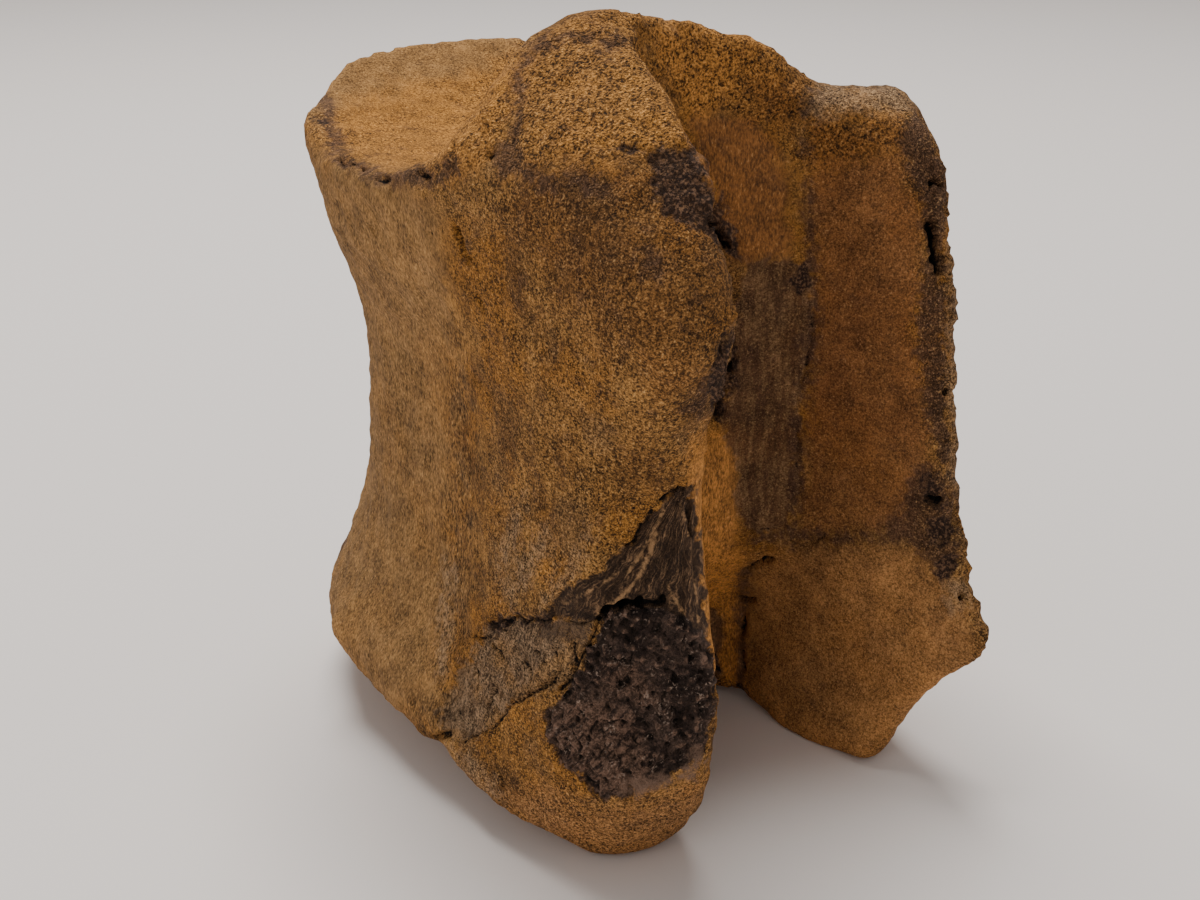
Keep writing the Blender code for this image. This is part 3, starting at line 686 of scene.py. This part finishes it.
def raiseFibres(piece, share):
    # strands that fan out from the apex, as waves in the mesh
    points = readVectors(piece.data, "co")
    turn, reach = fanOf(points, fibres["apex"])
    storeField(piece, "fanTurn", turn)
    storeField(piece, "fanReach", reach)
    unrolled = np.stack([turn / fibres["width"], reach / fibres["length"], 0 * turn], axis=1)
    strand = np.array([noise.noise(Vector(place)) for place in unrolled]) * share
    points += readVectors(piece.data, "normal") * strand[:, None] * fibres["height"] * mm
    points[:, 2] = np.maximum(points[:, 2], 0)
    writePoints(piece.data, points)


def storeSides(piece, inCanal):
    # which points lie on the centrum's walls, and which on its end faces
    points = readVectors(piece.data, "co") / mm
    deep, high = points[:, 1], points[:, 2]
    wall = smoothStep(*boneSkin["wallFront"], deep) * smoothStep(*boneSkin["wallFoot"], high)
    wall *= smoothStep(*boneSkin["wallHead"], high)
    storeField(piece, "wall", np.maximum(wall, inCanal))
    head = smoothStep(*boneSkin["faceHead"], high) * smoothStep(*boneSkin["faceFront"], deep)
    storeField(piece, "face", np.clip(smoothStep(*boneSkin["faceFoot"], high) + head, 0, 1))


def makeSkin(piece):
    refineBreaks(piece)
    points = readVectors(piece.data, "co")
    fields = readFields(points)
    fields["crack"], depths = readCracks(points)
    for name, values in fields.items():
        storeField(piece, name, values)
    lift = carve(piece, fields, depths)
    edge = boneSkin["maskEdge"]
    masks = {name: smoothStep(-edge, edge, fields[name]) * lift for name in fields}
    taken = np.max([masks[name] for name in broken], axis=0)
    sound = lift - boneSkin["brokenShare"] * taken - boneSkin["canalShare"] * masks["floor"]
    masks["sound"] = np.clip(sound, 0, 1)
    for name, weights in masks.items():
        addGroup(piece, name, weights)
    for name, kind, size, height, where in roughness:
        roughen(piece, name, kind, size, height, where)
    raiseFibres(piece, masks["fibre"])
    piece.vertex_groups.clear()
    storeField(piece, "bend", bendOf(piece))
    storeSides(piece, smoothStep(-1, 1, fields["floor"]))
    selectOnly(piece)
    bpy.ops.object.shade_smooth()
    piece.data.calc_loop_triangles()
    print("skin triangles", len(piece.data.loop_triangles))


def addNode(tree, kind, values=None, **settings):
    # a shader node with its settings, and its inputs either set or joined to another node's output
    node = tree.nodes.new(kind)
    for name, value in settings.items():
        setattr(node, name, value)
    for socket, value in (values or {}).items():
        if isinstance(value, bpy.types.NodeSocket):
            tree.links.new(value, node.inputs[socket])
        else:
            node.inputs[socket].default_value = value
    return node


def treeOf(*values):
    # the tree that the sockets among these values belong to
    return next(value.id_data for value in values if isinstance(value, bpy.types.NodeSocket))


def maths(operation, first, second):
    tree = treeOf(first, second)
    return addNode(tree, "ShaderNodeMath", {0: first, 1: second}, operation=operation).outputs[0]


def plus(first, second):
    return maths("ADD", first, second)


def minus(first, second):
    return maths("SUBTRACT", first, second)


def times(first, second):
    return maths("MULTIPLY", first, second)


def blendColour(share, first, second, kind="MIX"):
    values = {0: share, 6: first, 7: second}
    tree = treeOf(share, first, second)
    node = addNode(tree, "ShaderNodeMix", values, data_type="RGBA", blend_type=kind, clamp_factor=True)
    return node.outputs[2]


def blendValue(share, first, second):
    values = {0: share, 2: first, 3: second}
    node = addNode(treeOf(share), "ShaderNodeMix", values, data_type="FLOAT", clamp_factor=True)
    return node.outputs[0]


def ramp(value, low, high):
    # 0 up to low and 1 from high, with a soft rise between them
    values = {"Value": value, "From Min": low, "From Max": high}
    node = addNode(treeOf(value), "ShaderNodeMapRange", values, interpolation_type="SMOOTHSTEP")
    return node.outputs["Result"]


seedStep = 37  # how far apart two seeds of the soft noise lie


def cloud(vector, size, detail=2.0, seed=0.0):
    # soft noise, 0 to 1, with waves of the given size
    tree = treeOf(vector)
    shift = (seed * seedStep * mm,) * 3
    moved = addNode(tree, "ShaderNodeVectorMath", {0: vector, 1: shift}, operation="ADD").outputs[0]
    values = {"Vector": moved, "Scale": 1 / (size * mm), "Detail": detail}
    return addNode(tree, "ShaderNodeTexNoise", values).outputs["Fac"]


def newGroup(name, inputs, outputs):
    group = bpy.data.node_groups.new(name, "ShaderNodeTree")
    for socket, kind, value in inputs:
        made = group.interface.new_socket(name=socket, in_out="INPUT", socket_type=kind)
        if value is not None:
            made.default_value = value
    for socket in outputs:
        group.interface.new_socket(name=socket, in_out="OUTPUT", socket_type="NodeSocketFloat")
    source = group.nodes.new("NodeGroupInput")
    target = group.nodes.new("NodeGroupOutput")
    return group, source, target


# What a grain is made of
grainMix = {
    "fineShare": 0.65,
    "clumpScale": 0.45,  # the clumps' scale against that of the grains
    "dome": 0.35,
    "pitEdge": (0.07, 0.05),  # how far under and over the share of pits their edge runs
    "cellTone": 0.35,
    "tone": (0.38, 0.66),
}


def grainGroup():
    # packed grains of the given size: their height, the pits between them and their tone
    inputs = [("Vector", "NodeSocketVector", None), ("Size", "NodeSocketFloat", 0.6),
              ("Pits", "NodeSocketFloat", 0.42)]
    group, source, target = newGroup("grains", inputs, ("Height", "Pit", "Tone"))
    scale = maths("DIVIDE", 1 / mm, source.outputs["Size"])
    values = {"Vector": source.outputs["Vector"], "Scale": scale}
    cells = addNode(group, "ShaderNodeTexVoronoi", values)
    fine = addNode(group, "ShaderNodeTexNoise", {**values, "Detail": 2.0, "Roughness": 0.6})
    clumpScale = times(scale, grainMix["clumpScale"])
    clumps = addNode(group, "ShaderNodeTexNoise", {**values, "Scale": clumpScale, "Detail": 2.0})
    dome = times(minus(1.0, cells.outputs["Distance"]), grainMix["dome"])
    mixed = plus(times(fine.outputs["Fac"], grainMix["fineShare"]),
                 times(clumps.outputs["Fac"], 1 - grainMix["fineShare"]))
    low = minus(source.outputs["Pits"], grainMix["pitEdge"][0])
    high = plus(source.outputs["Pits"], grainMix["pitEdge"][1])
    each = addNode(group, "ShaderNodeSeparateColor", {"Color": cells.outputs["Color"]}).outputs[0]
    tone = plus(times(each, grainMix["cellTone"]),
                times(ramp(mixed, *grainMix["tone"]), 1 - grainMix["cellTone"]))
    group.links.new(plus(dome, mixed), target.inputs["Height"])
    group.links.new(minus(1.0, ramp(mixed, low, high)), target.inputs["Pit"])
    group.links.new(tone, target.inputs["Tone"])
    return group


def maskGroup():
    # turns a field in millimetres into a mask with a ragged edge
    inputs = [("Field", "NodeSocketFloat", 0.0), ("Noise", "NodeSocketFloat", 0.5),
              ("Ragged", "NodeSocketFloat", 1.0), ("Soft", "NodeSocketFloat", 0.2)]
    group, source, target = newGroup("raggedMask", inputs, ("Mask",))
    shift = times(minus(source.outputs["Noise"], 0.5), source.outputs["Ragged"])
    value = plus(source.outputs["Field"], shift)
    low = times(source.outputs["Soft"], -1.0)
    group.links.new(ramp(value, low, source.outputs["Soft"]), target.inputs["Mask"])
    return group


colours = {
    "tan": (0.345, 0.172, 0.050, 1),
    "orange": (0.350, 0.148, 0.026, 1),
    "brown": (0.175, 0.080, 0.023, 1),
    "greyBrown": (0.190, 0.104, 0.043, 1),
    "dustAndShade": (0.305, 0.172, 0.068, 1),
    "paleGrain": (0.66, 0.40, 0.16, 1),
    "pit": (0.072, 0.033, 0.012, 1),
    "rim": (0.48, 0.208, 0.042, 1),
    "coarse": (0.53, 0.236, 0.056, 1),
    "umberAndShade": (0.74, 0.68, 0.68, 1),  # multiplies what it covers: painted shade on the far lobe and the near lobe's bulge, and darker patches on the hidden sides
    "floorOrange": (0.255, 0.098, 0.024, 1),
    "russet": (0.265, 0.108, 0.040, 1),
    "ochreAndPaintedLight": (0.42, 0.200, 0.072, 1),
    "amberAndPaintedLight": (0.62, 0.270, 0.062, 1),
    "stain": (0.190, 0.108, 0.056, 1),
    "smudge": (0.092, 0.047, 0.028, 1),
    "smudgeLight": (0.28, 0.160, 0.096, 1),
    "dark": (0.024, 0.014, 0.011, 1),
    "darkLight": (0.200, 0.108, 0.062, 1),
    "darkGrain": (0.34, 0.180, 0.090, 1),
    "sponge": (0.034, 0.021, 0.017, 1),
    "spongeBrown": (0.135, 0.084, 0.062, 1),
    "spongeGlint": (0.42, 0.305, 0.23, 1),
    "mauve": (0.225, 0.130, 0.088, 1),
    "blush": (0.230, 0.140, 0.095, 1),
    "fibreDark": (0.040, 0.023, 0.015, 1),
    "fibreLight": (0.38, 0.215, 0.110, 1),
    "litRidge": (0.50, 0.285, 0.135, 1),
    "facet": (0.190, 0.120, 0.068, 1),
    "facetLight": (0.270, 0.175, 0.100, 1),
    "facetDark": (0.035, 0.020, 0.012, 1),
    "dusk": (0.085, 0.055, 0.038, 1),
    "paleAndLit": (0.33, 0.22, 0.13, 1),
    "black": (0.008, 0.006, 0.005, 1),
}


# How the edge of each place is drawn: (raggedness, softness, size of its waves)
edges = {
    "coarse": (6.0, 2.0, 4.0), "floor": (4.0, 1.2, 4.0), "dish": (6.0, 3.0, 4.0), "dustAndShade": (5.0, 2.5, 4.0),
    "umberAndShade": (8.0, 4.0, 5.0), "russet": (5.0, 2.0, 1.2), "ochreAndPaintedLight": (5.0, 3.0, 1.2), "amberAndPaintedLight": (5.0, 2.0, 1.2),
    "paleAndLit": (5.0, 1.5, 1.2), "calm": (3.0, 2.0, 4.0), "smudge": (4.5, 1.0, 1.2), "stain": (3.0, 0.7, 1.2),
    "dusk": (2.0, 0.6, 1.2), "grey": (3.0, 0.6, 1.2), "dark": (3.5, 0.5, 1.2), "litRidge": (1.0, 0.2, 0.8),
    "fibre": (1.8, 0.25, 1.2), "mauve": (4.0, 1.6, 1.2), "sponge": (1.6, 0.25, 1.2), "blush": (3.0, 0.6, 1.2),
    "crack": (0.9, 0.12, 0.7),
}

# How strongly each coat of colour covers what lies under it
strengths = {
    "orange": 0.7, "greyBrown": 0.6, "face": 0.6, "dish": 0.75, "dustAndShade": 0.65, "coarse": 0.7, "floor": 0.85,
    "russet": 0.65, "ochreAndPaintedLight": 0.70, "amberAndPaintedLight": 0.8, "paleAndLit": 0.55, "blotch": 0.45, "smudge": 0.80, "stain": 0.80,
    "smudgeLight": 0.5, "bright": 0.60, "pit": 0.80, "facetTan": 0.45, "dusk": 0.8, "wrinkle": 0.8,
    "grey": 0.85, "darkGrain": 0.6, "dark": 0.92, "fibrePit": 0.5, "litRidge": 0.8, "fibre": 0.97,
    "patchy": 0.6, "glint": 0.8, "spongePit": 0.6, "sponge": 0.98, "blush": 0.85, "crack": 1.0,
}

# Soft noise in the colours: (size of its waves, detail, seed)
clouds = {
    "broad": (24.0, 2.0, 1.0), "middling": (7.0, 3.0, 2.0), "close": (2.0, 4.0, 3.0),
    "streak": (1.1, 4.0, 9.0), "orange": (13.0, 3.0, 5.0), "greyBrown": (9.0, 4.0, 6.0),
    "uneven": (4.0, 4.0, 14.0), "wrinkle": (0.55, 3.0, 7.0), "flake": (0.45, 5.0, 10.0),
    "sway": (3.0, 3.0, 11.0),
    "patchy": (4.0, 4.0, 8.0), "spoke": (0.6, 3.0, 12.0), "cluster": (2.4, 3.0, 13.0),
}

# Where a value turns from one colour to another: (none of it, all of it)
rises = {
    "tan": (0.38, 0.58), "orange": (0.46, 0.62), "greyBrown": (0.50, 0.66), "blotch": (0.54, 0.70),
    "speck": (0.62, 0.95), "stain": (0.40, 0.62), "bright": (0.74, 0.98), "wrinkle": (0.45, 0.38),
    "facetLight": (0.38, 0.62), "facetTan": (0.46, 0.60), "flake": (0.46, 0.70), "strand": (0.45, 0.70),
    "litRaised": (-0.25, 0.25), "patchy": (0.44, 0.60), "spoke": (0.34, 0.54), "shadedHollow": (-0.05, -0.40),
    "litLump": (0.10, 0.50), "cluster": (0.46, 0.60),
}

# Patterns that run long from one pixel to another, and how many times as long as they are wide
runs = {
    "wrinkle": ((520, 640), (500, 700), 4.0),
    "flake": ((664, 152), (728, 246), 4.0),
    "spoke": ((650, 680), (570, 760), 5.0),
}

# Grains: (size, share of pits)
grainSizes = {"fine": (0.26, 0.43), "coarse": (0.34, 0.42), "crumb": (0.42, 0.50)}

finish = {
    "broadShare": 0.4,
    "middlingShare": 0.35,
    "streakShare": 0.25,
    "uprightGrain": 0.45,  # how much the walls' grain is squeezed along Z in its pattern
    "uprightStreak": 0.14,
    "calm": 0.45,  # how much weaker the grain is in calm places
    "toneSpread": 2.1,
    "unevenness": 1.2,
    "flatStrand": 0.4,  # how light a strand is where it doesn't stand out; raised strands get painted light above this
    "coarseHeight": 2.6,
    "crumbHeight": 1.8,
    "floorHeight": 0.35,
    "bump": 0.45,
    "roughness": 0.92,
    "floorRoughness": 0.62,
    "specular": 0.2,
}


def cloudOf(name, vector):
    size, detail, seed = clouds[name]
    return cloud(vector, size, detail, seed)


def rise(value, name):
    return ramp(value, *rises[name])


def alongRun(vector, name):
    # coordinates whose pattern runs long in one direction
    start, end, length = runs[name]
    turn = (onBone(end) - onBone(start)).to_track_quat("X", "Z").to_euler()
    values = {"Vector": vector, "Rotation": turn, "Scale": (length, 1, 1)}
    return addNode(treeOf(vector), "ShaderNodeMapping", values, vector_type="TEXTURE").outputs[0]


def upright(vector, share):
    values = {"Vector": vector, "Scale": (1, 1, share)}
    return addNode(treeOf(vector), "ShaderNodeMapping", values).outputs[0]


def grainAt(group, place, name):
    size, pits = grainSizes[name]
    values = {"Vector": place, "Size": size, "Pits": pits}
    return addNode(treeOf(place), "ShaderNodeGroup", values, node_tree=group).outputs


def maskOf(parts, name):
    # where a kind of place shows
    raggedness, soft, size = edges[name]
    values = {"Field": parts["fields"][name], "Noise": cloud(parts["vector"], size, 5.0, 4.0),
              "Ragged": raggedness, "Soft": soft}
    node = addNode(treeOf(parts["vector"]), "ShaderNodeGroup", values, node_tree=parts["ragged"])
    return node.outputs["Mask"]


def coat(under, name, share, colour):
    # one more colour, as strong as its name says, over what lies under it
    return blendColour(times(share, strengths[name]), under, colour)


def coatWhere(parts, under, name, colour=None):
    # the same, where that kind of place shows, in the colour of its name if no other is given
    return coat(under, name, maskOf(parts, name), colours[name] if colour is None else colour)


def mixGrain(parts):
    # the grain's height, pits and tone: upright on the walls and coarser on the roof
    group = parts["grains"]
    fine = grainAt(group, parts["vector"], "fine")
    tall = grainAt(group, upright(parts["vector"], finish["uprightGrain"]), "fine")
    coarse = grainAt(group, parts["vector"], "coarse")
    high = {"Height": times(coarse["Height"], finish["coarseHeight"]), "Pit": coarse["Pit"],
            "Tone": coarse["Tone"]}
    grain = {}
    for name in high:
        small = blendValue(parts["fields"]["wall"], fine[name], tall[name])
        grain[name] = blendValue(parts["inCoarse"], small, high[name])
    return grain


def shareParts(tree):
    # what the coats of colour have in common
    vector = addNode(tree, "ShaderNodeTexCoord").outputs["Object"]
    parts = {"vector": vector, "grains": grainGroup(), "ragged": maskGroup(), "fields": {}}
    for name in list(patches) + ["litRidge", "crack", "bend", "wall", "face", "fanTurn", "fanReach"]:
        parts["fields"][name] = addNode(tree, "ShaderNodeAttribute", attribute_name=name).outputs["Fac"]
    for name in ("broad", "middling", "close"):
        parts[name] = cloudOf(name, vector)
    parts["streak"] = cloudOf("streak", upright(vector, finish["uprightStreak"]))
    parts["inCoarse"] = maskOf(parts, "coarse")
    parts["inFloor"] = maskOf(parts, "floor")
    parts["grain"] = mixGrain(parts)
    parts["crumb"] = grainAt(parts["grains"], vector, "crumb")
    parts["speck"] = rise(parts["crumb"]["Tone"], "speck")
    strength = minus(1.0, times(maskOf(parts, "calm"), finish["calm"]))
    spread = times(minus(parts["grain"]["Tone"], 0.5), times(strength, finish["toneSpread"]))
    uneven = times(minus(cloudOf("uneven", vector), 0.5), finish["unevenness"])
    shade = plus(plus(1.0, spread), uneven)
    parts["strength"] = strength
    parts["shade"] = addNode(tree, "ShaderNodeCombineColor", {0: shade, 1: shade, 2: shade}).outputs[0]
    return parts


def soundCoat(parts):
    # whole bone: tan to brown, stained and streaked, with its grain, and with painted shade and painted light
    # over some places
    mix = plus(times(parts["broad"], finish["broadShare"]),
               times(parts["middling"], finish["middlingShare"]))
    mix = plus(mix, times(parts["streak"], finish["streakShare"]))
    colour = blendColour(rise(mix, "tan"), colours["brown"], colours["tan"])
    for name in ("orange", "greyBrown"):
        share = rise(cloudOf(name, parts["vector"]), name)
        colour = coat(colour, name, share, colours[name])
    colour = coat(colour, "face", parts["fields"]["face"], colours["rim"])
    colour = coatWhere(parts, colour, "dish", colours["rim"])
    # greyer dust colour on the left wall, and painted shade on the back of the dish
    colour = coatWhere(parts, colour, "dustAndShade")
    colour = coat(colour, "coarse", parts["inCoarse"], colours["coarse"])
    # painted shade: the colour is multiplied darker over these patches
    colour = blendColour(maskOf(parts, "umberAndShade"), colour, colours["umberAndShade"], "MULTIPLY")
    colour = coat(colour, "floor", parts["inFloor"], colours["floorOrange"])
    # the amber and ochre coats lighten shaded places low in the canal, on the far lobe and on the foot with
    # painted light; the pale coat paints light on the foot's lit facet
    for name in ("russet", "ochreAndPaintedLight", "amberAndPaintedLight", "paleAndLit"):
        colour = coatWhere(parts, colour, name)
    blotch = times(rise(parts["close"], "blotch"), parts["strength"])
    colour = coat(colour, "blotch", blotch, colours["smudge"])
    smudge = coat(colours["smudge"], "smudgeLight", parts["speck"], colours["smudgeLight"])
    colour = coatWhere(parts, colour, "smudge", smudge)
    stain = blendColour(rise(parts["streak"], "stain"), colours["smudge"], colours["stain"])
    colour = coatWhere(parts, colour, "stain", stain)
    colour = blendColour(1.0, colour, parts["shade"], "MULTIPLY")
    bright = times(rise(parts["grain"]["Tone"], "bright"), parts["strength"])
    colour = coat(colour, "bright", bright, colours["paleGrain"])
    return coat(colour, "pit", times(parts["grain"]["Pit"], parts["strength"]), colours["pit"])


def facetCoat(parts):
    # the flat facet: greyer, with short cracks and a dusky upper end
    colour = blendColour(rise(parts["close"], "facetLight"), colours["facet"], colours["facetLight"])
    colour = coat(colour, "facetTan", rise(parts["middling"], "facetTan"), colours["tan"])
    colour = blendColour(1.0, colour, parts["shade"], "MULTIPLY")
    colour = coatWhere(parts, colour, "dusk")
    wrinkles = cloudOf("wrinkle", alongRun(parts["vector"], "wrinkle"))
    return coat(colour, "wrinkle", rise(wrinkles, "wrinkle"), colours["facetDark"])


def darkCoat(parts):
    # dark flaky breaks, and a painted shadow along the step at the sponge's lower edge
    flakes = cloudOf("flake", alongRun(parts["vector"], "flake"))
    colour = blendColour(rise(flakes, "flake"), colours["dark"], colours["darkLight"])
    return coat(colour, "darkGrain", parts["speck"], colours["darkGrain"])


def fibreCoat(parts):
    # strands that fan out, with painted light where they stand out, and a few pale ridges of painted
    # highlight
    fields = parts["fields"]
    sway = times(cloudOf("sway", parts["vector"]), fibres["sway"])
    around = plus(maths("DIVIDE", fields["fanTurn"], fibres["strandWidth"]), sway)
    along = maths("DIVIDE", fields["fanReach"], fibres["strandLength"])
    tree = treeOf(around)
    fan = addNode(tree, "ShaderNodeCombineXYZ", {0: around, 1: along}).outputs[0]
    values = {"Vector": fan, "Scale": 1.0, "Detail": 5.0, "Roughness": 0.65}
    strand = rise(addNode(tree, "ShaderNodeTexNoise", values).outputs["Fac"], "strand")
    # painted light: strands are lighter where they stand out
    litRaised = times(rise(fields["bend"], "litRaised"), 1 - finish["flatStrand"])
    strand = times(strand, plus(litRaised, finish["flatStrand"]))
    colour = blendColour(strand, colours["fibreDark"], colours["fibreLight"])
    colour = coat(colour, "fibrePit", parts["crumb"]["Pit"], colours["black"])
    return coatWhere(parts, colour, "litRidge")


def spongeCoat(parts):
    # the spongy break: near black, browner at one side, with painted shade in its hollows, painted light on
    # its lumps and painted glints
    vector, bend = parts["vector"], parts["fields"]["bend"]
    patchy = rise(cloudOf("patchy", vector), "patchy")
    colour = coat(colours["sponge"], "patchy", patchy, colours["spongeBrown"])
    spoke = rise(cloudOf("spoke", alongRun(vector, "spoke")), "spoke")
    mauve = blendColour(spoke, colours["sponge"], colours["mauve"])
    colour = blendColour(maskOf(parts, "mauve"), colour, mauve)
    # painted shade in the hollows and painted light on the lumps
    colour = blendColour(rise(bend, "shadedHollow"), colour, colours["black"])
    colour = blendColour(rise(bend, "litLump"), colour, colours["mauve"])
    # painted glints: pale specks stand for light glinting off the crumbs
    glint = times(parts["speck"], rise(cloudOf("cluster", vector), "cluster"))
    colour = coat(colour, "glint", glint, colours["spongeGlint"])
    return coat(colour, "spongePit", parts["crumb"]["Pit"], colours["black"])


def boneMaterial():
    material = bpy.data.materials.new("fossilBone")
    material.use_nodes = True
    tree = material.node_tree
    shader = tree.nodes["Principled BSDF"]
    parts = shareParts(tree)
    inSponge = maskOf(parts, "sponge")
    colour = soundCoat(parts)
    colour = coatWhere(parts, colour, "grey", facetCoat(parts))
    colour = coatWhere(parts, colour, "dark", darkCoat(parts))
    colour = coatWhere(parts, colour, "fibre", fibreCoat(parts))
    colour = coat(colour, "sponge", inSponge, spongeCoat(parts))
    colour = coatWhere(parts, colour, "blush")
    # painted shade: the carved cracks and holes are also coloured near black, for the shade deep inside them
    colour = coatWhere(parts, colour, "crack", colours["black"])
    tree.links.new(colour, shader.inputs["Base Color"])
    rough = blendValue(parts["inFloor"], finish["roughness"], finish["floorRoughness"])
    tree.links.new(rough, shader.inputs["Roughness"])
    shader.inputs["Specular IOR Level"].default_value = finish["specular"]
    height = parts["grain"]["Height"]
    bumps = blendValue(inSponge, height, times(parts["crumb"]["Height"], finish["crumbHeight"]))
    bumps = blendValue(parts["inFloor"], bumps, times(height, finish["floorHeight"]))
    bumps = times(bumps, parts["strength"])
    values = {"Height": bumps, "Strength": 1.0, "Distance": finish["bump"] * mm}
    bump = addNode(tree, "ShaderNodeBump", values)
    tree.links.new(bump.outputs["Normal"], shader.inputs["Normal"])
    return material


stageLook = {
    "floorSize": 6.0,  # metres
    "floorColour": (0.89, 0.815, 0.755, 1),
    "world": (0.80, 0.79, 0.80, 1),
    "worldStrength": 0.44,
    "key": {"place": (0.10, 0.40, 1.2), "size": 0.7, "watts": 17.0},
    "fill": {"place": (-0.9, -0.5, 0.6), "size": 0.8, "watts": 2.0},
}


def addStage():
    bpy.ops.mesh.primitive_plane_add(size=stageLook["floorSize"], location=(0, 0, 0))
    floor = bpy.context.object
    floor.name = "paleFloor"
    material = bpy.data.materials.new("paleFloor")
    material.use_nodes = True
    shader = material.node_tree.nodes["Principled BSDF"]
    shader.inputs["Base Color"].default_value = stageLook["floorColour"]
    shader.inputs["Roughness"].default_value = 0.7
    floor.data.materials.append(material)
    world = bpy.data.worlds.new("softRoom")
    world.use_nodes = True
    background = world.node_tree.nodes["Background"]
    background.inputs["Color"].default_value = stageLook["world"]
    background.inputs["Strength"].default_value = stageLook["worldStrength"]
    bpy.context.scene.world = world
    for name in ("key", "fill"):
        look = stageLook[name]
        bpy.ops.object.light_add(type="AREA", location=look["place"])
        light = bpy.context.object
        light.name = name
        light.data.size = look["size"]
        light.data.energy = look["watts"]
        light.rotation_euler = (-Vector(look["place"])).to_track_quat("-Z", "Y").to_euler()


print("camera")
camera = addCamera()
print("bone skin")
skin = copyBone()
bpy.context.view_layer.update()
sight = BVHTree.FromObject(skin, bpy.context.evaluated_depsgraph_get())
nudge(skin)
sight = BVHTree.FromObject(skin, bpy.context.evaluated_depsgraph_get())
makeSkin(skin)
print("bone material")
skin.data.materials.append(boneMaterial())
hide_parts("vertebra")
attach(skin, "root")
print("stage")
addStage()
